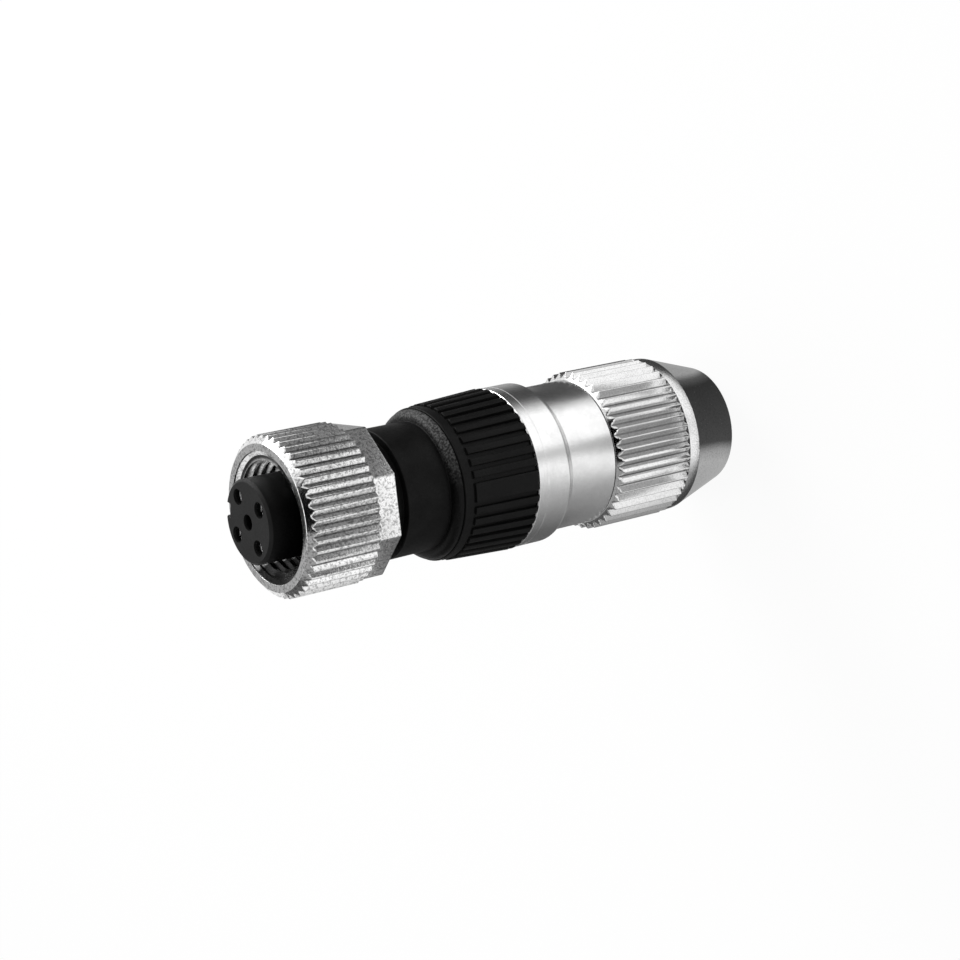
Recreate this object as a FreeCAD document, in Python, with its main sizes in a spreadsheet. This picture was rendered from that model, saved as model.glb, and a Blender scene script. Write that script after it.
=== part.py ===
import FreeCAD, Part
import math
import os
import re
import Sketcher

# Straight M12 cable connector with four sockets, in millimetres. The axis is Z: the cable enters at
# z = 0 and the mating face looks along +Z. The keyway of the insert lies at +Y.

SIZES = {
    # Stack of visible lengths, from the cable end to the mating face
    "clamp_nut_length": 16.85,
    "waist_length": 5.5,
    "slope_length": 0.9,
    "collar_length": 3.8,
    "grip_length": 8.5,
    "dome_length": 0.85,
    "neck_length": 4.95,
    "boss_length": 1.55,
    "coupling_nut_length": 10.3,
    "insert_reach": 2.1,
    # Clearances
    "seat_gap": 0.05,
    "running_gap": 0.05,
    "fit_gap": 0.02,
    "loose_gap": 0.3,
    # Clamp nut at the cable end
    "clamp_crest_rise": 0.03,
    "clamp_knurl_depth": 0.48,
    "clamp_knurl_land": 0.12,
    "clamp_knurl_count": 45,
    "clamp_nut_turn": 4.6,
    "clamp_front_rise": 0.04,
    "clamp_bevel_length": 0.55,
    "clamp_band_drop": 0.1,
    "clamp_band_length": 1.15,
    "clamp_cone_length": 6.35,
    "clamp_cone_angle": 17.4,
    "clamp_end_round": 0.4,
    "cable_bore_radius": 3.7,
    "cable_mouth_chamfer": 0.4,
    # Pressure ring and the seat that it has in the clamp nut
    "pressure_ring_radius": 6.15,
    "pressure_ring_length": 4.1,
    "pressure_ring_chamfer": 0.3,
    "pressure_ring_play": 0.35,
    # Rear spigot of the sleeve, clamped cage and cable seal
    "rear_spigot_radius": 6.9,
    "rear_spigot_length": 7.9,
    "spigot_chamfer": 0.4,
    "gland_bore_radius": 5.3,
    "cage_radius": 5.2,
    "cage_bore_radius": 3.6,
    "cage_seat_depth": 1.9,
    "cage_ring_length": 2.0,
    "cage_finger_length": 6.0,
    "cage_cone_length": 3.5,
    "cage_tip_radius": 4.35,
    "cage_slot_width": 0.8,
    "cage_slot_count": 8,
    "cage_tooth_depth": 0.25,
    "cage_tooth_length": 0.9,
    "seal_length": 5.5,
    "seal_bore_radius": 3.1,
    "seal_rib_depth": 0.45,
    # Sleeve
    "waist_radius": 7.46,
    "collar_radius": 8.22,
    "collar_chamfer": 0.25,
    "web_radius": 3.9,
    "web_length": 1.5,
    "web_rise": 3.0,
    "front_bore_radius": 5.6,
    "front_spigot_radius": 6.7,
    "front_spigot_length": 4.4,
    "key_width": 1.2,
    "key_height": 0.4,
    "key_length": 3.0,
    # Splice ring
    "splice_ring_radius": 5.5,
    "splice_gap": 0.4,
    "wire_hole_radius": 0.8,
    "wire_hole_height": 4.4,
    "wire_entry_radius": 1.9,
    "wire_entry_depth": 5.6,
    "fork_slot_floor": 2.4,
    # Contact carrier
    "carrier_radius": 5.52,
    "carrier_length": 4.0,
    "carrier_flange_gap": 0.15,
    "carrier_boss_length": 3.0,
    "body_seal_section": 1.0,
    "body_seal_height": 1.6,
    # Grip ring
    "lip_length": 2.5,
    "grip_bore_chamfer": 0.3,
    "grip_band_rise": 0.15,
    "grip_band_length": 1.2,
    "grip_recess_depth": 0.15,
    "grip_recess_width": 0.2,
    "grip_rear_rise": 0.09,
    "grip_taper": 0.39,
    "grip_floor_rise": 0.27,
    "grip_groove_width": 0.44,
    "grip_pitches": 40,
    "grip_ring_turn": 290.2,
    "grip_edge_chamfer": 0.15,
    # Front body
    "hub_radius": 5.7,
    "dome_radius": 7.6,
    "dome_land": 0.15,
    "dome_round": 0.95,
    "neck_rear_radius": 6.52,
    "neck_front_radius": 6.55,
    "neck_chamfer": 0.15,
    "boss_radius": 5.7,
    # Contact insert
    "tail_radius": 4.9,
    "insert_flange_radius": 5.2,
    "insert_flange_length": 1.0,
    "barrel_radius": 4.2,
    "barrel_chamfer": 0.25,
    "keyway_width": 1.5,
    "keyway_depth": 0.9,
    "contact_circle": 5.5,
    "contact_entry_radius": 0.8,
    "contact_entry_depth": 0.6,
    "contact_cavity_radius": 1.0,
    "centre_hole_depth": 6.0,
    "insert_seal_section": 0.9,
    "insert_seal_height": 4.0,
    # Contacts and their forks
    "contact_radius": 0.95,
    "contact_bore_radius": 0.52,
    "contact_bore_depth": 7.0,
    "contact_slit_width": 0.2,
    "contact_slit_depth": 4.5,
    "contact_chamfer": 0.15,
    "contact_tail_radius": 0.45,
    "fork_tab_thickness": 0.5,
    "fork_tab_length": 2.0,
    "fork_width": 2.2,
    "fork_thickness": 0.5,
    "fork_length": 4.6,
    "fork_slit_width": 0.4,
    "fork_slit_depth": 2.9,
    "fork_mouth_depth": 0.7,
    # Coupling nut and its slip ring
    "coupling_crest_radius": 8.02,
    "coupling_knurl_depth": 0.42,
    "coupling_knurl_land": 0.14,
    "coupling_knurl_count": 48,
    "coupling_knurl_turn": 3.75,
    "coupling_nut_turn": 15.0,
    "coupling_flange_length": 2.5,
    "coupling_flange_radius": 7.88,
    "coupling_flats": 14.6,
    "coupling_flats_count": 8,
    "coupling_front_radius": 7.25,
    "coupling_bevel_length": 0.7,
    "coupling_thread_radius": 6.0,
    "coupling_mouth_radius": 6.7,
    "coupling_mouth_depth": 0.7,
    "coupling_collar_radius": 5.2,
    "coupling_collar_length": 2.2,
    "slip_ring_radius": 6.25,
    "slip_ring_length": 1.0,
    "slip_ring_split": 1.2,
    "coupling_travel": 1.0,
}

doc = FreeCAD.newDocument("m12_connector")
sheet = doc.addObject("Spreadsheet::Sheet", "sizes")
for row, (alias, size) in enumerate(SIZES.items(), start=1):
    sheet.set(f"A{row}", alias)
    sheet.set(f"B{row}", str(size))
    sheet.setAlias(f"B{row}", alias)
doc.recompute()

ALIAS_WORDS = re.compile(r"\b(" + "|".join(SIZES) + r")\b")
# How far a cutting tool reaches past the surface that it cuts
OVERCUT = 1.0


def bound(formula):
    """The formula with every size name pointed at its cell."""
    return ALIAS_WORDS.sub(r"sizes.\1", str(formula))


def value(formula):
    """The formula's value now, for the first place of a sketch's points."""
    return float(doc.getObject("sizes").evalExpression(bound(formula)))


def origin_plane(body, role):
    return next(part for part in body.Origin.OriginFeatures if part.Role == role)


def new_body(name, base=0, radius=0, angle=0, turn=0):
    """A body named after its piece, lifted to its base height, moved out to a radius at an angle and turned."""
    body = doc.addObject("PartDesign::Body", name)
    body.Label = name
    body.Placement = FreeCAD.Placement(FreeCAD.Vector(), FreeCAD.Rotation(FreeCAD.Vector(0, 0, 1), 1))
    body.setExpression("Placement.Base.x", bound(f"({radius}) * cos({angle})"))
    body.setExpression("Placement.Base.y", bound(f"({radius}) * sin({angle})"))
    body.setExpression("Placement.Base.z", bound(base))
    body.setExpression("Placement.Rotation.Angle", bound(turn))
    return body


def new_sketch(body, name, role="XY_Plane", lift=None):
    """A sketch on one of the body's own planes, raised along the plane's normal where a lift is given."""
    sketch = body.newObject("Sketcher::SketchObject", name)
    sketch.AttachmentSupport = [(origin_plane(body, role), "")]
    sketch.MapMode = "FlatFace"
    if lift is not None:
        sketch.setExpression("AttachmentOffset.Base.z", bound(lift))
    return sketch


def pin_point(sketch, edge, end, across, along, tag):
    """Hold one end of an edge at two formulas, measured from the sketch's origin."""
    for kind, formula in (("DistanceX", across), ("DistanceY", along)):
        index = sketch.addConstraint(Sketcher.Constraint(kind, -1, 1, edge, end, value(formula)))
        sketch.renameConstraint(index, f"{tag}_{kind[-1].lower()}")
        sketch.setExpression(f"Constraints[{index}]", bound(formula))


def draw_outline(sketch, corners):
    """A closed outline through the corners. A corner with a third entry starts an arc of that radius,
    which bulges to the right of the way from this corner to the next."""
    points = [FreeCAD.Vector(value(corner[0]), value(corner[1]), 0) for corner in corners]
    starts = []
    ends = []
    for number, corner in enumerate(corners):
        here = points[number]
        there = points[(number + 1) % len(points)]
        if len(corner) == 3:
            radius = value(corner[2])
            half = (there - here) / 2
            offset = math.sqrt(radius**2 - half.Length**2)
            left = FreeCAD.Vector(-half.y, half.x, 0).normalize()
            centre = here + half + left * offset
            first = math.atan2(here.y - centre.y, here.x - centre.x)
            last = math.atan2(there.y - centre.y, there.x - centre.x)
            circle = Part.Circle(centre, FreeCAD.Vector(0, 0, 1), radius)
            edge = sketch.addGeometry(Part.ArcOfCircle(circle, first, last), False)
            index = sketch.addConstraint(Sketcher.Constraint("Radius", edge, radius))
            sketch.setExpression(f"Constraints[{index}]", bound(corner[2]))
        else:
            edge = sketch.addGeometry(Part.LineSegment(here, there), False)
        starts.append((edge, 1))
        ends.append((edge, 2))
    for number, corner in enumerate(corners):
        edge, end = starts[number]
        last_edge, last_end = ends[number - 1]
        sketch.addConstraint(Sketcher.Constraint("Coincident", last_edge, last_end, edge, end))
        pin_point(sketch, edge, end, corner[0], corner[1], f"corner{number}")


def draw_circle(sketch, across, along, radius):
    centre = FreeCAD.Vector(value(across), value(along), 0)
    circle = Part.Circle(centre, FreeCAD.Vector(0, 0, 1), value(radius))
    edge = sketch.addGeometry(circle, False)
    index = sketch.addConstraint(Sketcher.Constraint("Radius", edge, value(radius)))
    sketch.setExpression(f"Constraints[{index}]", bound(radius))
    pin_point(sketch, edge, 3, across, along, f"centre{edge}")


def rectangle(low_x, high_x, low_y, high_y):
    return [(low_x, low_y), (high_x, low_y), (high_x, high_y), (low_x, high_y)]


def turned(body, name, corners, kind="PartDesign::Revolution"):
    """Turn an outline of (radius, height) corners about the body's Z axis."""
    sketch = new_sketch(body, f"{name}_outline", "XZ_Plane")
    draw_outline(sketch, corners)
    feature = body.newObject(kind, name)
    feature.Profile = sketch
    feature.ReferenceAxis = (sketch, ["V_Axis"])
    feature.Angle = 360
    return feature


def raised(body, name, sketch, length, both_ways=False, down=False):
    feature = body.newObject("PartDesign::Pad", name)
    feature.Profile = sketch
    feature.setExpression("Length", bound(length))
    feature.Midplane = both_ways
    feature.Reversed = down
    return feature


def cut(body, name, sketch, length, both_ways=False, up=False):
    """Cut a sketch down into the body, up where said, or half the length each way."""
    feature = body.newObject("PartDesign::Pocket", name)
    feature.Profile = sketch
    feature.setExpression("Length", bound(length))
    feature.Midplane = both_ways
    feature.Reversed = up
    return feature


def repeated(body, feature, count, name, span=360):
    """Repeat a feature about the body's Z axis, evenly over the span."""
    pattern = body.newObject("PartDesign::PolarPattern", name)
    pattern.Originals = [feature]
    pattern.Axis = (origin_plane(body, "Z_Axis"), [""])
    pattern.setExpression("Angle", bound(span))
    pattern.setExpression("Occurrences", bound(count))
    body.Tip = pattern
    return pattern


def knurled(body, crest, depth, land, count, low, length, turn="0"):
    """V-grooves side by side round the body, with a narrow land left on each crest. The first groove
    stands turn degrees from the X axis."""
    sketch = new_sketch(body, "knurl_section", "XY_Plane", low)
    valley = f"{crest} - {depth}"
    # The flanks run from the valley through the crest's edges and on past the surface
    across = f"{valley} + 2 * ({crest} * cos(180 / {count}) - ({valley}))"
    half = f"2 * ({crest} * sin(180 / {count}) - {land} / 2)"
    draw_outline(sketch, [
        (f"({along}) * cos({turn}) - ({aside}) * sin({turn})", f"({along}) * sin({turn}) + ({aside}) * cos({turn})")
        for along, aside in ((valley, "0"), (across, f"-({half})"), (across, half))
    ])
    groove = cut(body, "knurl_groove", sketch, length, up=True)
    repeated(body, groove, count, "knurl")


# Heights of the main seats above the cable end
SLEEVE = "clamp_nut_length + seat_gap"
COLLAR = f"{SLEEVE} + waist_length + slope_length"
GRIP = f"{COLLAR} + collar_length + seat_gap"
LIP = f"{GRIP} + grip_length - lip_length"
DOME = f"{GRIP} + grip_length + seat_gap"
NECK = f"{DOME} + dome_length"
BOSS = f"{NECK} + neck_length"
NUT = f"{BOSS} + boss_length + seat_gap"
MATING_FACE = f"{NUT} + coupling_nut_length + insert_reach"

SPIGOT_END = f"{SLEEVE} - rear_spigot_length"
SPIGOT_FRONT = f"{COLLAR} + collar_length + front_spigot_length"
CARRIER = f"{SPIGOT_FRONT} + seat_gap - carrier_length"
CARRIER_FLANGE_TOP = f"{LIP} - seat_gap"
CARRIER_TOP = f"{CARRIER_FLANGE_TOP} + carrier_boss_length"
INSERT = f"{CARRIER_TOP} + fit_gap"
INSERT_FLANGE = f"{NUT} + coupling_collar_length + seat_gap + slip_ring_length + coupling_travel + seat_gap"
SPLICE_TOP = f"{CARRIER} - splice_gap"
WEB_TOP = f"{SLEEVE} + web_rise"
THREAD_BORE = "front_spigot_radius + running_gap"
CAGE = f"{SPIGOT_END} + cage_seat_depth - cage_finger_length"
CABLE_SEAL = f"{SPIGOT_END} + cage_seat_depth + cage_ring_length"
PRESSURE_RING = f"{SPIGOT_END} - pressure_ring_play - pressure_ring_length"
RING_SEAT = f"{PRESSURE_RING} - seat_gap"

# Outside radii that follow a neighbouring piece
CLAMP_CREST = "(collar_radius + clamp_crest_rise)"
CLAMP_BAND = "(collar_radius - clamp_band_drop)"
GRIP_REAR = "(collar_radius + grip_rear_rise)"
GRIP_FRONT = f"({GRIP_REAR} - grip_taper)"
GRIP_BAND = "(dome_radius + grip_band_rise)"


def make_clamp_nut():
    """Turned nut: knurled cylinder, plain band, cone to the cable end, thread bore, slip ring seat."""
    body = new_body("clamp_nut", turn="clamp_nut_turn")
    band_top = "clamp_cone_length + clamp_band_length"
    thread = "rear_spigot_radius + running_gap"
    thread_floor = "clamp_nut_length - rear_spigot_length - seat_gap"
    seat = "pressure_ring_radius + running_gap"
    # The rounded end edge meets both the end face and the cone tangentially
    round_top = "clamp_end_round * (1 - sin(clamp_cone_angle))"
    cone_foot = f"{CLAMP_BAND} - (clamp_cone_length - {round_top}) * tan(clamp_cone_angle)"
    turned(body, "blank", [
        ("cable_bore_radius + cable_mouth_chamfer", 0),
        (f"{cone_foot} - clamp_end_round * cos(clamp_cone_angle)", 0, "clamp_end_round"),
        (cone_foot, round_top),
        (CLAMP_BAND, "clamp_cone_length"),
        (CLAMP_BAND, band_top),
        (CLAMP_CREST, band_top),
        (CLAMP_CREST, "clamp_nut_length - clamp_bevel_length"),
        ("waist_radius + clamp_front_rise", "clamp_nut_length"),
        (thread, "clamp_nut_length"),
        (thread, thread_floor),
        (seat, thread_floor),
        (seat, RING_SEAT),
        ("cable_bore_radius", RING_SEAT),
        ("cable_bore_radius", "cable_mouth_chamfer"),
    ])
    knurled(body, CLAMP_CREST, "clamp_knurl_depth", "clamp_knurl_land", "clamp_knurl_count",
            band_top, "clamp_nut_length")
    return body


def make_pressure_ring():
    """Slip ring in the clamp nut, with a cone that closes the cage's fingers."""
    body = new_body("pressure_ring", PRESSURE_RING)
    # The bore keeps the same distance from the fingers' cone all the way
    slope = "(cage_radius - cage_tip_radius) / cage_cone_length"
    tip_height = f"{CAGE} - ({PRESSURE_RING})"
    foot = f"cage_tip_radius + loose_gap * 0.8 - ({tip_height}) * {slope}"
    head = f"{foot} + pressure_ring_length * {slope}"
    turned(body, "ring", [
        (foot, 0),
        ("pressure_ring_radius - pressure_ring_chamfer", 0),
        ("pressure_ring_radius", "pressure_ring_chamfer"),
        ("pressure_ring_radius", "pressure_ring_length"),
        (head, "pressure_ring_length"),
    ])
    return body


def make_clamp_cage():
    """Plastic collet: a ring in the sleeve's bore and slotted fingers with a cone and gripping teeth."""
    body = new_body("clamp_cage", CAGE)
    length = "cage_finger_length + cage_ring_length"
    tooth = "cage_tooth_length"
    corners = [
        ("cage_bore_radius", 0),
        ("cage_tip_radius", 0),
        ("cage_radius", "cage_cone_length"),
        ("cage_radius", length),
        ("cage_bore_radius", length),
    ]
    for number in (3, 2, 1):
        corners.append(("cage_bore_radius", f"{tooth} * {number}"))
        corners.append(("cage_bore_radius - cage_tooth_depth", f"{tooth} * ({number} - 0.5)"))
    turned(body, "collet", corners)
    sketch = new_sketch(body, "slot_section")
    reach = f"cage_radius + {OVERCUT}"
    draw_outline(sketch, rectangle("cage_bore_radius / 2", reach, "-cage_slot_width / 2", "cage_slot_width / 2"))
    slot = cut(body, "slot", sketch, "cage_finger_length", up=True)
    repeated(body, slot, "cage_slot_count", "slots")
    return body


def make_cable_seal():
    """Rubber bush between cage and web, with three sealing lips in its bore."""
    body = new_body("cable_seal", CABLE_SEAL)
    groove = "seal_bore_radius + seal_rib_depth"
    corners = [
        ("gland_bore_radius - running_gap", 0),
        ("gland_bore_radius - running_gap", "seal_length"),
        ("seal_bore_radius", "seal_length"),
    ]
    for number in (5, 4, 3, 2, 1):
        across = "seal_bore_radius" if number % 2 == 0 else groove
        corners.append((across, f"seal_length * {number} / 6"))
    corners.append(("seal_bore_radius", 0))
    turned(body, "bush", corners)
    return body


def make_metal_sleeve():
    """Turned sleeve: threaded spigot at each end, waist, slope, collar, and an inner web."""
    body = new_body("metal_sleeve", SPIGOT_END)
    shoulder = f"{SLEEVE} - ({SPIGOT_END})"
    collar = f"{COLLAR} - ({SPIGOT_END})"
    face = f"{collar} + collar_length"
    front = f"{SPIGOT_FRONT} - ({SPIGOT_END})"
    web_top = f"{WEB_TOP} - ({SPIGOT_END})"
    turned(body, "blank", [
        ("gland_bore_radius", 0),
        ("rear_spigot_radius - spigot_chamfer", 0),
        ("rear_spigot_radius", "spigot_chamfer"),
        ("rear_spigot_radius", shoulder),
        ("waist_radius", shoulder),
        ("waist_radius", f"{shoulder} + waist_length"),
        ("collar_radius", collar),
        ("collar_radius", f"{face} - collar_chamfer"),
        ("collar_radius - collar_chamfer", face),
        ("front_spigot_radius", face),
        ("front_spigot_radius", f"{front} - spigot_chamfer"),
        ("front_spigot_radius - spigot_chamfer", front),
        ("front_bore_radius", front),
        ("front_bore_radius", web_top),
        ("web_radius", web_top),
        ("web_radius", f"{web_top} - web_length"),
        ("gland_bore_radius", f"{web_top} - web_length"),
    ])
    # Two slots in the front bore hold the carrier's keys
    sketch = new_sketch(body, "key_slot_section", "XY_Plane", front)
    half = "key_width / 2 + loose_gap"
    slot_floor = "front_bore_radius + key_height"
    draw_outline(sketch, rectangle("web_radius", slot_floor, f"-({half})", half))
    slot = cut(body, "key_slot", sketch, "key_length + loose_gap + seat_gap")
    repeated(body, slot, 2, "key_slots")
    return body


def make_splice_ring():
    """Wire organiser: central entry, four wire holes that lead outwards, and a slot for each fork."""
    body = new_body("splice_ring", WEB_TOP, turn=45)
    length = f"{SPLICE_TOP} - ({WEB_TOP})"
    turned(body, "drum", [
        ("wire_entry_radius", 0),
        ("splice_ring_radius", 0),
        ("splice_ring_radius", length),
        (0, length),
        (0, "wire_entry_depth"),
        ("wire_entry_radius", "wire_entry_depth"),
    ])
    wire = new_sketch(body, "wire_section", "YZ_Plane")
    draw_circle(wire, 0, "wire_hole_height", "wire_hole_radius")
    hole = cut(body, "wire_hole", wire, f"splice_ring_radius + {OVERCUT}", up=True)
    repeated(body, hole, 4, "wire_holes")
    slot_sketch = new_sketch(body, "fork_slot_section", "XY_Plane", length)
    outer = "contact_circle / 2 + fork_tab_length / 2 + loose_gap"
    inner = f"{outer} - fork_thickness - 2 * loose_gap"
    half = "fork_width / 2 + loose_gap"
    draw_outline(slot_sketch, rectangle(inner, outer, f"-({half})", half))
    slot = cut(body, "fork_slot", slot_sketch, f"{length} - fork_slot_floor")
    repeated(body, slot, 4, "fork_slots")
    return body


def make_contact_carrier():
    """Carrier behind the front body: keyed barrel with a seal groove, trapped flange, boss, fork recesses."""
    body = new_body("contact_carrier", CARRIER, turn=45)
    flange = "carrier_length"
    flange_top = f"{CARRIER_FLANGE_TOP} - ({CARRIER})"
    top = f"{CARRIER_TOP} - ({CARRIER})"
    flange_radius = f"{THREAD_BORE} - carrier_flange_gap"
    boss_radius = "tail_radius"
    groove_floor = "front_bore_radius - running_gap - body_seal_section"
    turned(body, "blank", [
        (0, 0),
        ("carrier_radius", 0),
        ("carrier_radius", "body_seal_height - body_seal_section / 2 - running_gap"),
        (groove_floor, "body_seal_height - body_seal_section / 2 - running_gap"),
        (groove_floor, "body_seal_height + body_seal_section / 2 + running_gap"),
        ("carrier_radius", "body_seal_height + body_seal_section / 2 + running_gap"),
        ("carrier_radius", flange),
        (flange_radius, flange),
        (flange_radius, flange_top),
        (boss_radius, flange_top),
        (boss_radius, top),
        (0, top),
    ])
    # Keys on the barrel, turned back so that they meet the sleeve's slots
    key = new_sketch(body, "key_section", "XY_Plane", flange)
    key.AttachmentOffset = FreeCAD.Placement(FreeCAD.Vector(), FreeCAD.Rotation(FreeCAD.Vector(0, 0, 1), -45))
    key.setExpression("AttachmentOffset.Base.z", bound(flange))
    reach = "front_bore_radius + key_height - running_gap"
    draw_outline(key, rectangle("carrier_radius - key_height", reach, "-key_width / 2", "key_width / 2"))
    rib = raised(body, "key", key, "carrier_length - body_seal_height - body_seal_section / 2 - 2 * running_gap",
                 down=True)
    repeated(body, rib, 2, "keys")
    tail = new_sketch(body, "tail_hole_section")
    draw_circle(tail, "contact_circle / 2", 0, "contact_tail_radius + fit_gap")
    hole = cut(body, "tail_hole", tail, top, up=True)
    repeated(body, hole, 4, "tail_holes")
    recess = new_sketch(body, "recess_section")
    middle = "contact_circle / 2"
    half_long = "fork_tab_length / 2 + fit_gap"
    half_wide = "fork_width / 2 + fit_gap"
    draw_outline(recess, rectangle(f"{middle} - ({half_long})", f"{middle} + {half_long}",
                                   f"-({half_wide})", half_wide))
    seat = cut(body, "fork_recess", recess, "fork_tab_thickness", up=True)
    repeated(body, seat, 4, "fork_recesses")
    return body


def make_grip_ring():
    """Ribbed union ring: thread bore, front lip, conical ribs with narrow grooves and one wide pad. A
    narrow recess parts the ribs from the plain band in front of them, and the grooves run into it."""
    body = new_body("grip_ring", GRIP, turn="grip_ring_turn")
    band = "grip_length - grip_band_length"
    floor = f"{GRIP_BAND} - grip_recess_depth"
    lip_bore = "hub_radius + 2 * running_gap"
    turned(body, "blank", [
        (f"{THREAD_BORE} + grip_bore_chamfer", 0),
        (f"{GRIP_REAR} - grip_edge_chamfer", 0),
        (GRIP_REAR, "grip_edge_chamfer"),
        (GRIP_FRONT, band),
        (floor, band),
        (floor, f"{band} + grip_recess_width"),
        (GRIP_BAND, f"{band} + grip_recess_width"),
        (GRIP_BAND, "grip_length - grip_edge_chamfer"),
        (f"{GRIP_BAND} - grip_edge_chamfer", "grip_length"),
        (lip_bore, "grip_length"),
        (lip_bore, "grip_length - lip_length"),
        (THREAD_BORE, "grip_length - lip_length"),
        (THREAD_BORE, "grip_bore_chamfer"),
    ])
    # The groove's floor rises to the rear with the ribs
    sketch = new_sketch(body, "groove_section", "XZ_Plane")
    reach = f"{GRIP_REAR} + {OVERCUT}"
    draw_outline(sketch, [
        (f"{floor} + grip_floor_rise", 0),
        (reach, 0),
        (reach, band),
        (floor, band),
    ])
    groove = cut(body, "groove", sketch, "grip_groove_width", both_ways=True)
    repeated(body, groove, "grip_pitches - 1", "grooves", "360 - 720 / grip_pitches")
    return body


def make_front_body():
    """Plastic neck with the rounded shoulder, the hub that the grip ring turns on, and the nut's rear stop."""
    body = new_body("front_body", f"{LIP} - seat_gap + fit_gap")
    bore = "tail_radius + running_gap"
    hub = "lip_length + 2 * seat_gap - fit_gap"
    neck = f"{hub} + dome_length"
    boss = f"{neck} + neck_length"
    turned(body, "blank", [
        (bore, 0),
        ("hub_radius", 0),
        ("hub_radius", hub),
        ("dome_radius", hub),
        ("dome_radius", f"{hub} + dome_land", "dome_round"),
        ("neck_rear_radius", neck),
        ("neck_front_radius", f"{boss} - neck_chamfer"),
        ("neck_front_radius - neck_chamfer", boss),
        ("boss_radius", boss),
        ("boss_radius", f"{boss} + boss_length"),
        (bore, f"{boss} + boss_length"),
    ])
    return body


def make_contact_insert():
    """Keyed plastic insert: seal groove on its tail, flange, barrel, keyway, contact cavities, centre hole."""
    body = new_body("contact_insert", INSERT)
    flange = f"{INSERT_FLANGE} - ({INSERT})"
    flange_top = f"{flange} + insert_flange_length"
    top = f"{MATING_FACE} - ({INSERT})"
    groove_floor = "tail_radius + running_gap - fit_gap - insert_seal_section"
    groove_low = "insert_seal_height - insert_seal_section / 2 - running_gap"
    groove_high = "insert_seal_height + insert_seal_section / 2 + running_gap"
    turned(body, "blank", [
        (0, 0),
        ("tail_radius", 0),
        ("tail_radius", groove_low),
        (groove_floor, groove_low),
        (groove_floor, groove_high),
        ("tail_radius", groove_high),
        ("tail_radius", flange),
        ("insert_flange_radius", flange),
        ("insert_flange_radius", flange_top),
        ("barrel_radius", flange_top),
        ("barrel_radius", f"{top} - barrel_chamfer"),
        ("barrel_radius - barrel_chamfer", top),
        ("contact_entry_radius", top),
        ("contact_entry_radius", f"{top} - centre_hole_depth"),
        (0, f"{top} - centre_hole_depth"),
    ])
    keyway = new_sketch(body, "keyway_section", "XY_Plane", top)
    draw_outline(keyway, rectangle("-keyway_width / 2", "keyway_width / 2", "barrel_radius - keyway_depth",
                                   f"barrel_radius + {OVERCUT}"))
    cut(body, "keyway", keyway, f"{top} - ({flange_top})")
    across = "contact_circle / 2 * cos(45)"
    entry = new_sketch(body, "entry_section", "XY_Plane", top)
    draw_circle(entry, across, across, "contact_entry_radius")
    mouth = cut(body, "entry", entry, "contact_entry_depth")
    repeated(body, mouth, 4, "entries")
    cavity = new_sketch(body, "cavity_section")
    draw_circle(cavity, across, across, "contact_cavity_radius")
    hole = cut(body, "cavity", cavity, f"{top} - contact_entry_depth", up=True)
    repeated(body, hole, 4, "cavities")
    return body


def make_contact(number):
    """Turned socket with a slit front end and a thin tail that goes through the carrier."""
    shoulder = f"{CARRIER_TOP} - ({CARRIER}) + fit_gap"
    body = new_body(f"contact_{number}", CARRIER, "contact_circle / 2", 90 * number - 45, 90 * number - 45)
    top = f"{MATING_FACE} - contact_entry_depth - seat_gap - ({CARRIER})"
    turned(body, "blank", [
        (0, 0),
        ("contact_tail_radius", 0),
        ("contact_tail_radius", shoulder),
        ("contact_radius", shoulder),
        ("contact_radius", f"{top} - contact_chamfer"),
        ("contact_radius - contact_chamfer", top),
        ("contact_bore_radius", top),
        ("contact_bore_radius", f"{top} - contact_bore_depth"),
        (0, f"{top} - contact_bore_depth"),
    ])
    sketch = new_sketch(body, "slit_section", "XY_Plane", top)
    reach = "contact_radius * 1.2"
    draw_outline(sketch, rectangle(f"-({reach})", reach, "-contact_slit_width / 2", "contact_slit_width / 2"))
    cut(body, "slit", sketch, "contact_slit_depth")
    return body


def make_idc_fork(number):
    """Stamped fork: a tab riveted to the contact's tail, bent down into two prongs with a slit and a mouth."""
    body = new_body(f"idc_fork_{number}", f"{CARRIER} - fork_length", "contact_circle / 2",
                    90 * number - 45, 90 * number - 45)
    side = "fork_tab_length / 2"
    tab = new_sketch(body, "tab_section", "XY_Plane", "fork_length")
    draw_outline(tab, rectangle(f"-({side})", side, "-fork_width / 2", "fork_width / 2"))
    raised(body, "tab", tab, "fork_tab_thickness - fit_gap")
    rivet = new_sketch(body, "rivet_section", "XY_Plane", "fork_length")
    draw_circle(rivet, 0, 0, "contact_tail_radius + fit_gap")
    cut(body, "rivet_hole", rivet, "fork_tab_thickness", up=True)
    blade = new_sketch(body, "blade_section", "YZ_Plane", f"{side} - fork_thickness")
    mouth = "fork_slit_width / 2 + fork_mouth_depth / 2"
    draw_outline(blade, [
        ("-fork_width / 2", "fork_mouth_depth / 2"),
        (f"-({mouth})", 0),
        ("-fork_slit_width / 2", "fork_mouth_depth"),
        ("-fork_slit_width / 2", "fork_slit_depth"),
        ("fork_slit_width / 2", "fork_slit_depth"),
        ("fork_slit_width / 2", "fork_mouth_depth"),
        (mouth, 0),
        ("fork_width / 2", "fork_mouth_depth / 2"),
        ("fork_width / 2", "fork_length + fork_tab_thickness / 2"),
        ("-fork_width / 2", "fork_length + fork_tab_thickness / 2"),
    ])
    raised(body, "blade", blade, "fork_thickness")
    return body


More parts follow.
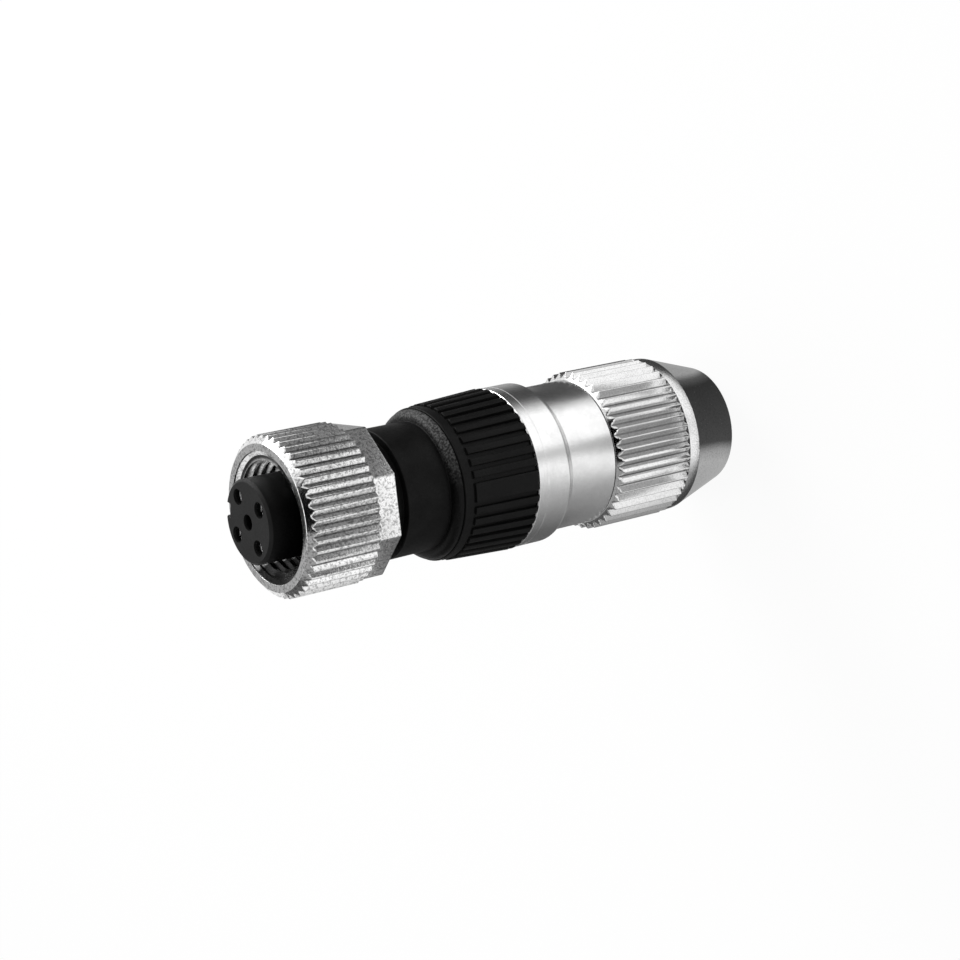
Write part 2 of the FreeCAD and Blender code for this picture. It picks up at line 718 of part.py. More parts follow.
def make_coupling_nut():
    """Coupling nut: V-knurl, eight-sided flange, thread bore, slip ring groove and rear collar."""
    body = new_body("coupling_nut", NUT, turn="coupling_nut_turn")
    ring_groove = "slip_ring_radius + running_gap"
    ring_floor = "coupling_collar_length"
    ring_top = f"{ring_floor} + slip_ring_length + 2 * seat_gap"
    turned(body, "blank", [
        ("coupling_collar_radius", 0),
        ("coupling_flange_radius", 0),
        ("coupling_flange_radius", "coupling_flange_length"),
        ("coupling_crest_radius", "coupling_flange_length"),
        ("coupling_crest_radius", "coupling_nut_length - coupling_bevel_length"),
        ("coupling_front_radius", "coupling_nut_length"),
        ("coupling_mouth_radius", "coupling_nut_length"),
        ("coupling_thread_radius", "coupling_nut_length - coupling_mouth_depth"),
        ("coupling_thread_radius", ring_top),
        (ring_groove, ring_top),
        (ring_groove, ring_floor),
        ("coupling_collar_radius", ring_floor),
    ])
    flat = new_sketch(body, "flat_section")
    reach = f"coupling_flange_radius + {OVERCUT}"
    draw_outline(flat, rectangle("coupling_flats / 2", reach, "-coupling_flange_radius / 2",
                                 "coupling_flange_radius / 2"))
    side = cut(body, "flat", flat, "coupling_flange_length", up=True)
    repeated(body, side, "coupling_flats_count", "flats")
    knurled(body, "coupling_crest_radius", "coupling_knurl_depth", "coupling_knurl_land",
            "coupling_knurl_count", "coupling_flange_length", "coupling_nut_length", "coupling_knurl_turn")
    return body


def make_retaining_ring():
    """Split slip ring that runs on the insert's tail inside the coupling nut's groove."""
    body = new_body("retaining_ring", f"{NUT} + coupling_collar_length + seat_gap")
    bore = "tail_radius + running_gap"
    turned(body, "ring", [
        (bore, 0),
        ("slip_ring_radius", 0),
        ("slip_ring_radius", "slip_ring_length"),
        (bore, "slip_ring_length"),
    ])
    sketch = new_sketch(body, "split_section")
    draw_outline(sketch, rectangle("tail_radius / 2", f"slip_ring_radius + {OVERCUT}",
                                   "-slip_ring_split / 2", "slip_ring_split / 2"))
    cut(body, "split", sketch, "slip_ring_length", up=True)
    return body


def make_o_ring(name, base, outer_radius, section):
    """A torus whose outside radius and section are given."""
    ring = doc.addObject("Part::Torus", name)
    ring.Label = name
    ring.setExpression("Radius1", bound(f"{outer_radius} - {section} / 2"))
    ring.setExpression("Radius2", bound(f"{section} / 2"))
    ring.setExpression("Placement.Base.z", bound(base))
    return ring


pieces = [
    make_clamp_nut(),
    make_pressure_ring(),
    make_clamp_cage(),
    make_cable_seal(),
    make_metal_sleeve(),
    make_splice_ring(),
    make_contact_carrier(),
    make_o_ring("body_seal", f"{CARRIER} + body_seal_height", "front_bore_radius - running_gap",
                "body_seal_section"),
    make_grip_ring(),
    make_front_body(),
    make_contact_insert(),
    make_o_ring("insert_seal", f"{INSERT} + insert_seal_height", "tail_radius + running_gap - fit_gap",
                "insert_seal_section"),
    make_coupling_nut(),
    make_retaining_ring(),
]
for number in range(1, 5):
    pieces.append(make_contact(number))
    pieces.append(make_idc_fork(number))
doc.recompute()

faults = [thing.Name for thing in doc.Objects if "Invalid" in thing.State or "Error" in thing.State]
if faults:
    raise RuntimeError(f"these objects failed: {faults}")
for piece in pieces:
    if piece.Shape.isNull() or not piece.Shape.isValid():
        raise RuntimeError(f"{piece.Label} has no valid shape")

os.makedirs("parts", exist_ok=True)
for piece in pieces:
    piece.Shape.exportStep(f"parts/{piece.Label}.step")
    print(piece.Label, len(piece.Shape.Solids), round(piece.Shape.Volume, 2))
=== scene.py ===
import bpy
import numpy as np
from mathutils import Matrix, Vector


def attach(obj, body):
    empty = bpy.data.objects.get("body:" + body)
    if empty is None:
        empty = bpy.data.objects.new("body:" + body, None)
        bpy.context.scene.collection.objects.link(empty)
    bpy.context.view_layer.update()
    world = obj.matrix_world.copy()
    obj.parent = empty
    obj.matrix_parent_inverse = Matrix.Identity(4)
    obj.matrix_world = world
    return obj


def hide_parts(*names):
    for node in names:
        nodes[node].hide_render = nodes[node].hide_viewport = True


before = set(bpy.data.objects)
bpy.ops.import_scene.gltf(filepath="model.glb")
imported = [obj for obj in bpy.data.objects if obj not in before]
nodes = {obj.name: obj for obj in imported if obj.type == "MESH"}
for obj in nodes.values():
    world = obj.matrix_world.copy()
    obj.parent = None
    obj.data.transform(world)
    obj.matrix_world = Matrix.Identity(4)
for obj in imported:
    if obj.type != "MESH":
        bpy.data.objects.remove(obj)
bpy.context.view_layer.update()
scene = bpy.context.scene


# Camera. It looks down on the standing connector and lies on its side, so that the cable end points
# to the right of the picture, as in the product photograph. Long lens, no shift, no depth of field.
camera_data = bpy.data.cameras.new("camera")
camera_data.lens = 90
camera_data.sensor_width = 36
camera_data.clip_start = 0.01
camera_data.clip_end = 20
camera = bpy.data.objects.new("camera", camera_data)
scene.collection.objects.link(camera)
camera_place = Vector((0.08839, -0.18142, 0.16260))
camera_right = Vector((0.0437, -0.5801, -0.8133))
camera_back = Vector((0.3680, -0.7475, 0.5529)).normalized()
camera_up = camera_back.cross(camera_right).normalized()
camera_right = camera_up.cross(camera_back)
camera.matrix_world = Matrix((
    (camera_right.x, camera_up.x, camera_back.x, camera_place.x),
    (camera_right.y, camera_up.y, camera_back.y, camera_place.y),
    (camera_right.z, camera_up.z, camera_back.z, camera_place.z),
    (0, 0, 0, 1),
))
scene.camera = camera
scene.view_settings.view_transform = "Standard"


# Studio. A white table that fades into a white room, with two soft lamps on the side that is up in the
# photograph and a weak one opposite. Cards that only gloss can see give the plating its light and dark
# streaks: they lie on the table in rings, or hang round the connector, and stay off the picture.
def place(kind, tree, **settings):
    """A node of the given kind. A setting that names an input socket fills that socket, a link where
    it is an output, and any other setting is an attribute of the node."""
    made = tree.nodes.new(kind)
    for key, content in settings.items():
        if key not in made.inputs:
            setattr(made, key, content)
    for key, content in settings.items():
        if key in made.inputs and isinstance(content, bpy.types.NodeSocket):
            tree.links.new(content, made.inputs[key])
        elif key in made.inputs:
            made.inputs[key].default_value = content
    return made


def empty_finish(name):
    """A material that has no nodes yet, and its node tree."""
    finish = bpy.data.materials.new(name)
    finish.use_nodes = True
    finish.node_tree.nodes.clear()
    return finish, finish.node_tree


def stretch(tree, value, low, high, to_low, to_high):
    """A value carried from one range to another and held at its ends."""
    made = place("ShaderNodeMapRange", tree, Value=value)
    ends = {"From Min": low, "From Max": high, "To Min": to_low, "To Max": to_high}
    for socket, number in ends.items():
        made.inputs[socket].default_value = number
    return made.outputs[0]


def combine(tree, operation, one, other):
    """Two values made into one: the larger of them, or their product."""
    made = place("ShaderNodeMath", tree, operation=operation)
    tree.links.new(one, made.inputs[0])
    tree.links.new(other, made.inputs[1])
    return made.outputs[0]


def face_connector(made, azimuth, elevation, distance):
    """Hold an object off the connector's middle, facing it, in metres and degrees. The way out is
    (cos azimuth cos elevation, sin azimuth cos elevation, sin elevation)."""
    a, e = np.radians(azimuth), np.radians(elevation)
    way = Vector((np.cos(a) * np.cos(e), np.sin(a) * np.cos(e), np.sin(e)))
    made.location = Vector((0, 0, 0.0275)) + way * distance
    made.rotation_euler = way.to_track_quat("Z", "Y").to_euler()


def lamp(name, azimuth, elevation, distance, size, power):
    """A round soft lamp that the camera doesn't see."""
    light = bpy.data.lights.new(name, "AREA")
    light.shape = "DISK"
    light.size = size
    light.energy = power
    made = bpy.data.objects.new(name, light)
    scene.collection.objects.link(made)
    made.visible_camera = False
    face_connector(made, azimuth, elevation, distance)


def glow_only(name, card_mesh, glow):
    """A card of the studio that lamps and camera don't see and that only gloss picks up."""
    card_mesh.materials.append(glow)
    made = bpy.data.objects.new(name, card_mesh)
    scene.collection.objects.link(made)
    made.visible_camera = False
    made.visible_diffuse = False
    made.visible_shadow = False
    made.visible_transmission = False
    return made


def table_card(name, inner, outer, levels):
    """A flat ring just above the table, its two radii in mm, with a level of light for each azimuth in
    degrees, carried over evenly from one to the next. Points lie at radius times (cos, sin)."""
    around = np.radians(np.arange(0, 360, 3))
    count = len(around)
    radius = np.array([inner, outer])[:, None] / 1000
    above_table = np.full((2, count), 0.0002)
    points = np.stack([radius * np.cos(around), radius * np.sin(around), above_table], -1)
    step = np.arange(count)
    after = (step + 1) % count
    faces = np.stack([step, step + count, after + count, after], -1)
    data = bpy.data.meshes.new(name)
    data.from_pydata(points.reshape(-1, 3).tolist(), [], faces.tolist())
    glow, tree = empty_finish(name)
    spot = place("ShaderNodeTexCoord", tree).outputs["Object"]
    sweep = place("ShaderNodeTexGradient", tree, Vector=spot, gradient_type="RADIAL")
    ramp = place("ShaderNodeValToRGB", tree, Fac=sweep.outputs["Fac"])
    stops = ramp.color_ramp.elements
    for number, (azimuth, level) in enumerate(levels):
        way_round = azimuth / 360 + 0.5
        stop = stops[number] if number < 2 else stops.new(way_round)
        stop.position = way_round
        stop.color = (level, level, level, 1)
    light = place("ShaderNodeEmission", tree, Color=ramp.outputs["Color"], Strength=2.0)
    place("ShaderNodeOutputMaterial", tree, Surface=light.outputs[0])
    glow_only(name, data, glow)


def hanging_card(name, azimuth, elevation, distance, radius, level):
    """A disc with one level of light all over that faces the connector. Its rim lies at radius times
    (cos, sin)."""
    around = np.radians(np.arange(0, 360, 10))
    count = len(around)
    rim = np.stack([radius * np.cos(around), radius * np.sin(around), np.zeros(count)], -1)
    data = bpy.data.meshes.new(name)
    data.from_pydata(rim.tolist(), [], [list(range(count))])
    glow, tree = empty_finish(name)
    light = place("ShaderNodeEmission", tree, Color=(level, level, level, 1), Strength=1.0)
    place("ShaderNodeOutputMaterial", tree, Surface=light.outputs[0])
    face_connector(glow_only(name, data, glow), azimuth, elevation, distance)


lamp("side_lamp", 55, 35, 0.45, 0.25, 1.2)
lamp("front_lamp", -110, 35, 0.55, 0.35, 0.2)
lamp("top_lamp", 110, 70, 0.50, 0.25, 0.8)
table_card("foot_card", 4.2, 12.5, [
    (-180, 0.22), (-130, 0.24), (-112, 0.26), (-98, 0.20), (-88, 0.04), (-20, 0.02), (-8, 0.06),
    (2, 0.20), (60, 0.20), (120, 0.22), (180, 0.22)])
table_card("near_card", 12.5, 15.5, [(-180, 0.03), (180, 0.03)])
table_card("band_card", 15.5, 17.6, [
    (-180, 0.16), (-120, 0.20), (-100, 0.55), (0, 0.62), (14, 0.20), (60, 0.12), (120, 0.12),
    (180, 0.16)])
table_card("knurl_card", 17.6, 34, [
    (-180, 0.12), (-165, 0.14), (-150, 0.17), (-125, 0.20), (-112, 0.30), (-98, 0.52), (-78, 0.60),
    (-74, 0.22), (-54, 0.20), (-50, 0.60), (-6, 0.62), (8, 0.35), (16, 0.04), (104, 0.04),
    (130, 0.09), (180, 0.12)])
table_card("middle_card", 34, 70, [
    (-180, 0.06), (-174, 0.06), (-142, 0.13), (-110, 0.26), (-92, 0.44), (-80, 0.62), (-72, 0.60),
    (-64, 0.30), (-58, 0.30), (-50, 0.70), (-6, 0.75), (6, 0.40), (16, 0.12), (24, 0.03), (44, 0.03),
    (58, 0.08), (72, 0.20), (90, 0.22), (116, 0.16), (134, 0.06), (180, 0.06)])
table_card("flange_card", 70, 83.5, [
    (-180, 0.07), (-160, 0.08), (-135, 0.20), (-108, 0.62), (-66, 0.65), (-46, 0.30), (-22, 0.06),
    (30, 0.045), (58, 0.05), (76, 0.14), (94, 0.20), (116, 0.16), (150, 0.06), (180, 0.07)])
table_card("far_card", 83.5, 140, [
    (-180, 0.34), (-140, 0.40), (-124, 0.52), (-112, 0.62), (-102, 0.64), (-98, 0.10), (-94, 0.02),
    (-89, 0.04), (-85, 0.60), (-75, 0.68), (-71, 0.12), (-64, 0.08), (-46, 0.07), (-34, 0.09),
    (-20, 0.12), (10, 0.14), (30, 0.10), (45, 0.07), (60, 0.06), (90, 0.09), (116, 0.18),
    (150, 0.30), (180, 0.34)])
hanging_card("dark_card", -60, 64, 0.30, 0.13, 0.0)
hanging_card("window_card", 26, 39, 0.36, 0.115, 1.6)
hanging_card("rim_card", 116, 34, 0.30, 0.14, 0.45)
hanging_card("left_card", -142, 42, 0.30, 0.20, 0.38)
hanging_card("back_card", 172, 8, 0.30, 0.15, 0.12)


def seen_white(tree):
    """1 for rays of the camera, of gloss and of glass, which see the white of the room, otherwise 0."""
    rays = place("ShaderNodeLightPath", tree).outputs
    shine = combine(tree, "MAXIMUM", rays["Is Camera Ray"], rays["Is Glossy Ray"])
    return combine(tree, "MAXIMUM", shine, rays["Is Transmission Ray"])


room = bpy.data.worlds.new("room")
scene.world = room
room.use_nodes = True
room_tree = room.node_tree
room_tree.nodes.clear()
room_light = stretch(room_tree, seen_white(room_tree), 0.0, 1.0, 0.55, 1.0)
backdrop = place("ShaderNodeBackground", room_tree, Color=(1, 1, 1, 1), Strength=room_light)
place("ShaderNodeOutputWorld", room_tree, Surface=backdrop.outputs[0])

table_mesh = bpy.data.meshes.new("table")
table_mesh.from_pydata([(-3, -3, 0), (3, -3, 0), (3, 3, 0), (-3, 3, 0)], [], [(0, 1, 2, 3)])
table = bpy.data.objects.new("table", table_mesh)
scene.collection.objects.link(table)
table_paint, paint_tree = empty_finish("table_paint")
glow_share = stretch(paint_tree, seen_white(paint_tree), 0.0, 1.0, 0.0, 0.92)
paint = place("ShaderNodeBsdfDiffuse", paint_tree, Color=(0.82, 0.82, 0.82, 1))
table_glow = place("ShaderNodeEmission", paint_tree, Color=(1, 1, 1, 1), Strength=1.0)
blend = place("ShaderNodeMixShader", paint_tree)
for number, part in enumerate((glow_share, paint.outputs[0], table_glow.outputs[0])):
    paint_tree.links.new(part, blend.inputs[number])
place("ShaderNodeOutputMaterial", paint_tree, Surface=blend.outputs[0])
table_mesh.materials.append(table_paint)


# Clamp nut. A brass nut turned to a cone at the cable end, with coarse V-knurling pressed in along its
# barrel, then nickel-plated. It screws on the sleeve's rear thread and squeezes the cable clamp.
def arc(middle, first, last, count):
    """Points on a circle from middle + first to middle + last. At each angle turned, a point lies at
    the middle, plus first times its cosine, plus the spoke square to first times its sine."""
    turn = np.arctan2(first[0] * last[1] - first[1] * last[0], first @ last)
    sweep = np.linspace(0, turn, count)[:, None]
    return middle + np.cos(sweep) * first + np.sin(sweep) * np.array([-first[1], first[0]])


def rounded_profile(corners, steps=5):
    """A closed outline from (distance, height, bend) corners. A corner gives way to an arc of its bend
    that touches both sides: its middle lies on the corner's bisector at bend / sin(half the angle).
    A point just outside each end of the arc keeps the shading of the sides beside it straight."""
    corners = np.array(corners, float)
    just_outside = 0.01
    outline = []
    for corner, before, after in zip(corners, np.roll(corners, 1, 0), np.roll(corners, -1, 0)):
        here, bend = corner[:2], corner[2]
        if bend == 0:
            outline.append(here[None])
            continue
        a = (before[:2] - here) / np.linalg.norm(before[:2] - here)
        b = (after[:2] - here) / np.linalg.norm(after[:2] - here)
        half = np.arccos(np.clip(a @ b, -1, 1)) / 2
        middle = here + (a + b) / np.linalg.norm(a + b) * bend / np.sin(half)
        first = here + a * bend / np.tan(half) - middle
        last = here + b * bend / np.tan(half) - middle
        outline.append((middle + first + a * just_outside)[None])
        outline.append(arc(middle, first, last, steps))
        outline.append((middle + last + b * just_outside)[None])
    return np.concatenate(outline)


def run(start, end, count):
    """Corners without a bend, evenly spaced on the way from start to end, both left out."""
    share = np.linspace(0, 1, count + 2)[1:-1, None]
    points = np.array([start]) * (1 - share) + np.array([end]) * share
    return [(distance, height, 0) for distance, height in points]


def closed_shell(name, reach, height, angle):
    """A surface that closes both ways round. Point (i, j) lies at reach[i, j] from the axis, at
    height[i, j] and angle[j]: x = reach cos(angle), y = reach sin(angle), z = height, in millimetres."""
    rows, columns = reach.shape
    points = np.stack([reach * np.cos(angle), reach * np.sin(angle), height], -1).reshape(-1, 3) / 1000
    row, column = np.meshgrid(np.arange(rows), np.arange(columns), indexing="ij")
    row_after = (row + 1) % rows
    column_after = (column + 1) % columns
    faces = np.stack([
        row * columns + column,
        row * columns + column_after,
        row_after * columns + column_after,
        row_after * columns + column,
    ], -1).reshape(-1, 4)
    data = bpy.data.meshes.new(name)
    data.vertices.add(len(points))
    data.vertices.foreach_set("co", points.ravel())
    data.loops.add(faces.size)
    data.loops.foreach_set("vertex_index", faces.ravel())
    data.polygons.add(len(faces))
    data.polygons.foreach_set("loop_start", np.arange(len(faces)) * 4)
    data.update(calc_edges=True)
    data.shade_smooth()
    data.set_sharp_from_angle(angle=np.radians(32))
    made = bpy.data.objects.new(name, data)
    scene.collection.objects.link(made)
    weighted = made.modifiers.new("weighted", "WEIGHTED_NORMAL")
    weighted.keep_sharp = True
    return made


def round_the_axis(outline, angle):
    """The same outline at every angle, as an array of distances and one of heights."""
    return np.repeat(outline[:, :1], len(angle), 1), np.repeat(outline[:, 1:], len(angle), 1)


def knurl_angles(count, phase, land):
    """Angles round a knurl, closer together in each groove's middle and at each crest. The first half
    of a pitch runs from 0 in the groove's middle to 1 in the crest's, and the second half back."""
    edge = 1 - land
    half_pitch = np.array([0.0, 0.06, 0.16, 0.5, edge - 0.06, edge, 1 - land / 2])
    steps = np.concatenate([half_pitch, [1.0], 2 - half_pitch[:0:-1]]) / 2
    return (np.arange(count)[:, None] + steps[None]).ravel() * 2 * np.pi / count + phase


def v_knurl(angle, crest, depth, count, phase, land):
    """Distance of a V-knurled barrel from its axis: the crest less the depth times 1 - s. The climb
    from 0 in a groove's middle to 1 on the crest is even, and flattens out by the square of the way
    over the land's share. To be blunt at the bottom, s is the root of climb squared plus a small
    number, less that number's own root, scaled back to end at 1."""
    pitch = 2 * np.pi / count
    blunt = 0.004
    away = np.abs((angle - phase + pitch / 2) % pitch - pitch / 2) / (pitch / 2)
    bend = np.clip((away - 1 + land) / land, 0, 1)
    climb = (np.minimum(away, 1 - land) + land * (bend - bend**2 / 2)) / (1 - land / 2)
    s = (np.sqrt(climb**2 + blunt) - np.sqrt(blunt)) / (np.sqrt(1 + blunt) - np.sqrt(blunt))
    return crest - depth * (1 - s)


def axis_distance(tree, spot):
    """Distance of a spot from the axis in mm: the length of the spot times (1000, 1000, 0)."""
    flat = place("ShaderNodeVectorMath", tree, operation="MULTIPLY")
    tree.links.new(spot, flat.inputs[0])
    flat.inputs[1].default_value = (1000, 1000, 0)
    reach = place("ShaderNodeVectorMath", tree, operation="LENGTH")
    tree.links.new(flat.outputs[0], reach.inputs[0])
    return reach.outputs["Value"]


def how_far(tree, spot, way):
    """How far a spot lies along a way: the dot product of the two."""
    made = place("ShaderNodeVectorMath", tree, operation="DOT_PRODUCT")
    tree.links.new(spot, made.inputs[0])
    made.inputs[1].default_value = way
    return made.outputs["Value"]


def groove_shade_share(tree, spot, reach, groove):
    """1 on unshaded plating, down to a quarter with painted shade at the bottom of a knurl's grooves.
    The groove is the distance of its bottom and its two heights in mm; what is nearer to the axis than
    7 mm is no knurl and gets no painted shade."""
    bottom, low, high = groove
    height = place("ShaderNodeSeparateXYZ", tree, Vector=spot).outputs["Z"]
    unshaded = stretch(tree, reach, bottom + 0.01, bottom + 0.08, 0.25, 1.0)
    for elsewhere in (stretch(tree, height, low / 1000, (low + 0.05) / 1000, 1.0, 0.0),
                      stretch(tree, height, (high - 0.05) / 1000, high / 1000, 0.0, 1.0),
                      stretch(tree, reach, 7.0, 7.05, 1.0, 0.0)):
        unshaded = combine(tree, "MAXIMUM", unshaded, elsewhere)
    return unshaded


def bore_shade_shares(tree, spot, reach, bore):
    """Two shares of painted shade in a threaded bore, both 1 outside it. The first falls from a thread's
    crests to its valleys, painted shade in the recesses. The second is painted shade on one side of
    the bore, and leaves the nut's front rim bright."""
    valley = stretch(tree, reach, 5.62, 5.85, 1.0, 0.06)
    outside = stretch(tree, reach, bore, bore + 0.05, 0.0, 1.0)
    lit_side_share = stretch(tree, how_far(tree, spot, (90, 155, 0)), -0.30, -0.12, 0.02, 1.0)
    rim = stretch(tree, reach, bore + 0.43, bore + 0.45, 0.0, 1.0)
    return combine(tree, "MAXIMUM", valley, outside), combine(tree, "MAXIMUM", lit_side_share, rim)


def nickel_plate(name, tone, roughness, grain, lift, mottle, pitting, turning=0.0, bore=0.0,
                 groove=None):
    """Nickel plate in object coordinates. Fine noise of the given grain lifts the surface (both in mm)
    and darkens its pits, slow noise shifts tone and roughness by the mottle, and noise drawn out round
    the axis lays in the fine lines that turning leaves, as high as turning says, in mm. A knurl's
    groove may get painted shade at its bottom, and a threaded bore, given by its radius, painted shade
    in its valleys and on one side."""
    plate, tree = empty_finish(name)
    spot = place("ShaderNodeTexCoord", tree).outputs["Object"]
    fine = place("ShaderNodeTexNoise", tree, Vector=spot, Scale=1000 / grain, Detail=3.0, Roughness=0.6)
    slow = place("ShaderNodeTexNoise", tree, Vector=spot, Scale=420.0, Detail=6.0, Roughness=0.7)
    pits = stretch(tree, fine.outputs["Fac"], 0.38, 0.52, 1 - pitting, 1.0)
    clouds = stretch(tree, slow.outputs["Fac"], 0.35, 0.65, tone * (1 - mottle), tone)
    shade = combine(tree, "MULTIPLY", pits, clouds)
    metal = place("ShaderNodeBsdfPrincipled", tree, Metallic=1.0)
    if bore or groove:
        reach = axis_distance(tree, spot)
    if groove:
        # Painted shade at the bottom of the knurl's grooves.
        shade = combine(tree, "MULTIPLY", shade, groove_shade_share(tree, spot, reach, groove))
    if bore:
        # Painted shade in the bore's thread valleys and on one side of it; the shaded side also loses
        # its metal shine.
        threaded, unshaded_bore_share = bore_shade_shares(tree, spot, reach, bore)
        shade = combine(tree, "MULTIPLY", combine(tree, "MULTIPLY", shade, threaded), unshaded_bore_share)
        tree.links.new(unshaded_bore_share, metal.inputs["Metallic"])
        tree.links.new(unshaded_bore_share, metal.inputs["Specular IOR Level"])
    rough = stretch(tree, slow.outputs["Fac"], 0.35, 0.65,
                    roughness * (1 + mottle), roughness * (1 - mottle))
    relief = place("ShaderNodeBump", tree, Height=fine.outputs["Fac"], Distance=lift / 1000)
    if turning:
        height = place("ShaderNodeSeparateXYZ", tree, Vector=spot).outputs["Z"]
        drawn = place("ShaderNodeCombineXYZ", tree, Z=height).outputs[0]
        lines = place("ShaderNodeTexNoise", tree, Vector=drawn, Scale=16000.0, Detail=2.0)
        turned = place("ShaderNodeBump", tree, Height=lines.outputs["Fac"], Distance=turning / 1000)
        tree.links.new(turned.outputs[0], relief.inputs["Normal"])
    tree.links.new(shade, metal.inputs["Base Color"])
    tree.links.new(rough, metal.inputs["Roughness"])
    tree.links.new(relief.outputs[0], metal.inputs["Normal"])
    place("ShaderNodeOutputMaterial", tree, Surface=metal.outputs[0])
    return plate


def dress(piece, finish, body, node):
    """Give a new piece its finish, let it ride on its body and stand for its node."""
    piece.data.materials.append(finish)
    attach(piece, body)
    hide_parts(node)


clamp_crest, clamp_knurls, clamp_land = 8.25, 45, 0.08
clamp_phase = np.radians(4.6)
clamp_angle = knurl_angles(clamp_knurls, clamp_phase, clamp_land)
clamp_outline = rounded_profile(
    [(4.1, 0, 0.06), (6.13, 0, 0.4), (8.12, 6.35, 0.08), (8.12, 7.56, 0), (8.12, 7.6, 0),
     (clamp_crest, 7.6, 0), (clamp_crest, 16.3, 0)]
    + run((clamp_crest, 16.3), (7.5, 16.85), 7)
    + [(7.5, 16.85, 0.05), (6.95, 16.85, 0.05), (6.95, 8.9, 0), (6.2, 8.9, 0), (6.2, 4.5, 0),
       (3.7, 4.5, 0.05), (3.7, 0.4, 0.06)])
clamp_reach, clamp_height = round_the_axis(clamp_outline, clamp_angle)
barrel = (clamp_outline[:, 0] > 7.3) & (clamp_outline[:, 1] > 7.58)
clamp_knurl = v_knurl(clamp_angle, clamp_crest, 0.57, clamp_knurls, clamp_phase, clamp_land)
clamp_reach[barrel] = np.minimum(clamp_reach[barrel], clamp_knurl)
clamp_shell = closed_shell("clamp_nut_plated", clamp_reach, clamp_height, clamp_angle)
# The clamp nut's knurl gets painted shade at the bottom of its grooves.
clamp_nickel = nickel_plate("clamp_nut_nickel", tone=0.80, roughness=0.13, grain=0.16, lift=0.0035,
                            mottle=0.08, pitting=0.18, groove=(7.68, 7.6, 16.7))
dress(clamp_shell, clamp_nickel, "clamp", "clamp_nut")


# Clamp cage, pressure ring and cable seal. Moulded plastic and rubber inside the clamp nut and the
# sleeve's rear end: the ring presses the cage's fingers on the cable, and the cage presses the seal.
# The two O-rings further forward are of the seal's rubber.
def moulded_plastic(name, tone, roughness, grain, lift, mottle=0.25, gloss=0.5, zone=None,
                    zone_gloss=0.5):
    """Moulded plastic in object coordinates: noise of the given grain lifts the surface (both in mm),
    and slow noise shifts its tone by the mottle. The zone below a height in mm has a gloss of its own
    and specks in place of its tone, which get lighter from one side of the piece to the other as a
    painted highlight on the side where the light falls."""
    plastic, tree = empty_finish(name)
    spot = place("ShaderNodeTexCoord", tree).outputs["Object"]
    fine = place("ShaderNodeTexNoise", tree, Vector=spot, Scale=1000 / grain, Detail=3.0, Roughness=0.6)
    slow = place("ShaderNodeTexNoise", tree, Vector=spot, Scale=500.0, Detail=5.0, Roughness=0.65)
    body = place("ShaderNodeBsdfPrincipled", tree)
    body.inputs["Specular IOR Level"].default_value = gloss
    shade = stretch(tree, slow.outputs["Fac"], 0.35, 0.65, tone * (1 - mottle), tone * (1 + mottle))
    if zone:
        zone_top, low_tone, high_tone = zone
        height = place("ShaderNodeSeparateXYZ", tree, Vector=spot).outputs["Z"]
        below = stretch(tree, height, zone_top / 1000, (zone_top + 0.1) / 1000, 1.0, 0.0)
        # Painted highlight: the zone's specks get lighter towards the side where the light falls.
        painted_side_light = stretch(tree, how_far(tree, spot, (136, -7, 0)), 0.35, 0.95, low_tone, high_tone)
        speck = stretch(tree, fine.outputs["Fac"], 0.42, 0.62, 0.1, 1.0)
        specks = combine(tree, "MULTIPLY", painted_side_light, speck)
        mixed = place("ShaderNodeMix", tree, data_type="FLOAT")
        for number, part in ((0, below), (2, shade), (3, specks)):
            tree.links.new(part, mixed.inputs[number])
        shade = mixed.outputs[0]
        tree.links.new(stretch(tree, below, 0.0, 1.0, gloss, zone_gloss),
                       body.inputs["Specular IOR Level"])
    rough = stretch(tree, fine.outputs["Fac"], 0.35, 0.65, roughness * 0.85, roughness * 1.15)
    relief = place("ShaderNodeBump", tree, Height=fine.outputs["Fac"], Distance=lift / 1000)
    tree.links.new(shade, body.inputs["Base Color"])
    tree.links.new(rough, body.inputs["Roughness"])
    tree.links.new(relief.outputs[0], body.inputs["Normal"])
    place("ShaderNodeOutputMaterial", tree, Surface=body.outputs[0])
    return plastic


def coat(node, finish):
    """Give a node of the frame a better finish, its mesh left as it is."""
    nodes[node].data.materials.clear()
    nodes[node].data.materials.append(finish)


cage_grey = moulded_plastic("cage_grey", tone=0.30, roughness=0.45, grain=0.25, lift=0.006, mottle=0.1)
coat("clamp_cage", cage_grey)
coat("pressure_ring", cage_grey)
seal_black = moulded_plastic("seal_black", tone=0.02, roughness=0.6, grain=0.2, lift=0.01)
for seal in ("cable_seal", "body_seal", "insert_seal"):
    coat(seal, seal_black)


# Metal sleeve. Turned brass tube, nickel-plated: a threaded spigot at each end, a waist, a slope and a
# wider collar with one fine turned line, from which the front spigot steps down inside the grip ring.
def even_angles(count):
    """Angles that part the whole turn evenly."""
    return np.arange(count) * 2 * np.pi / count


def screw_thread(height, angle, crest, depth, low, high):
    """Distance of a right-hand thread of 1 mm pitch: the crest's radius less the depth, which is below
    zero in a nut, times a blunt V that follows height minus angle / (2 pi). The V is 1.19 less 2.5
    times the way from the valley's middle, held at 0 and 1, and fades out over 0.4 mm at both ends."""
    turn = (height - angle / (2 * np.pi)) % 1
    valley = np.clip(1.19 - 2.5 * np.abs(turn - 0.5), 0, 1)
    fade = np.clip((height - low) / 0.4, 0, 1) * np.clip((high - height) / 0.4, 0, 1)
    return crest - depth * valley * fade


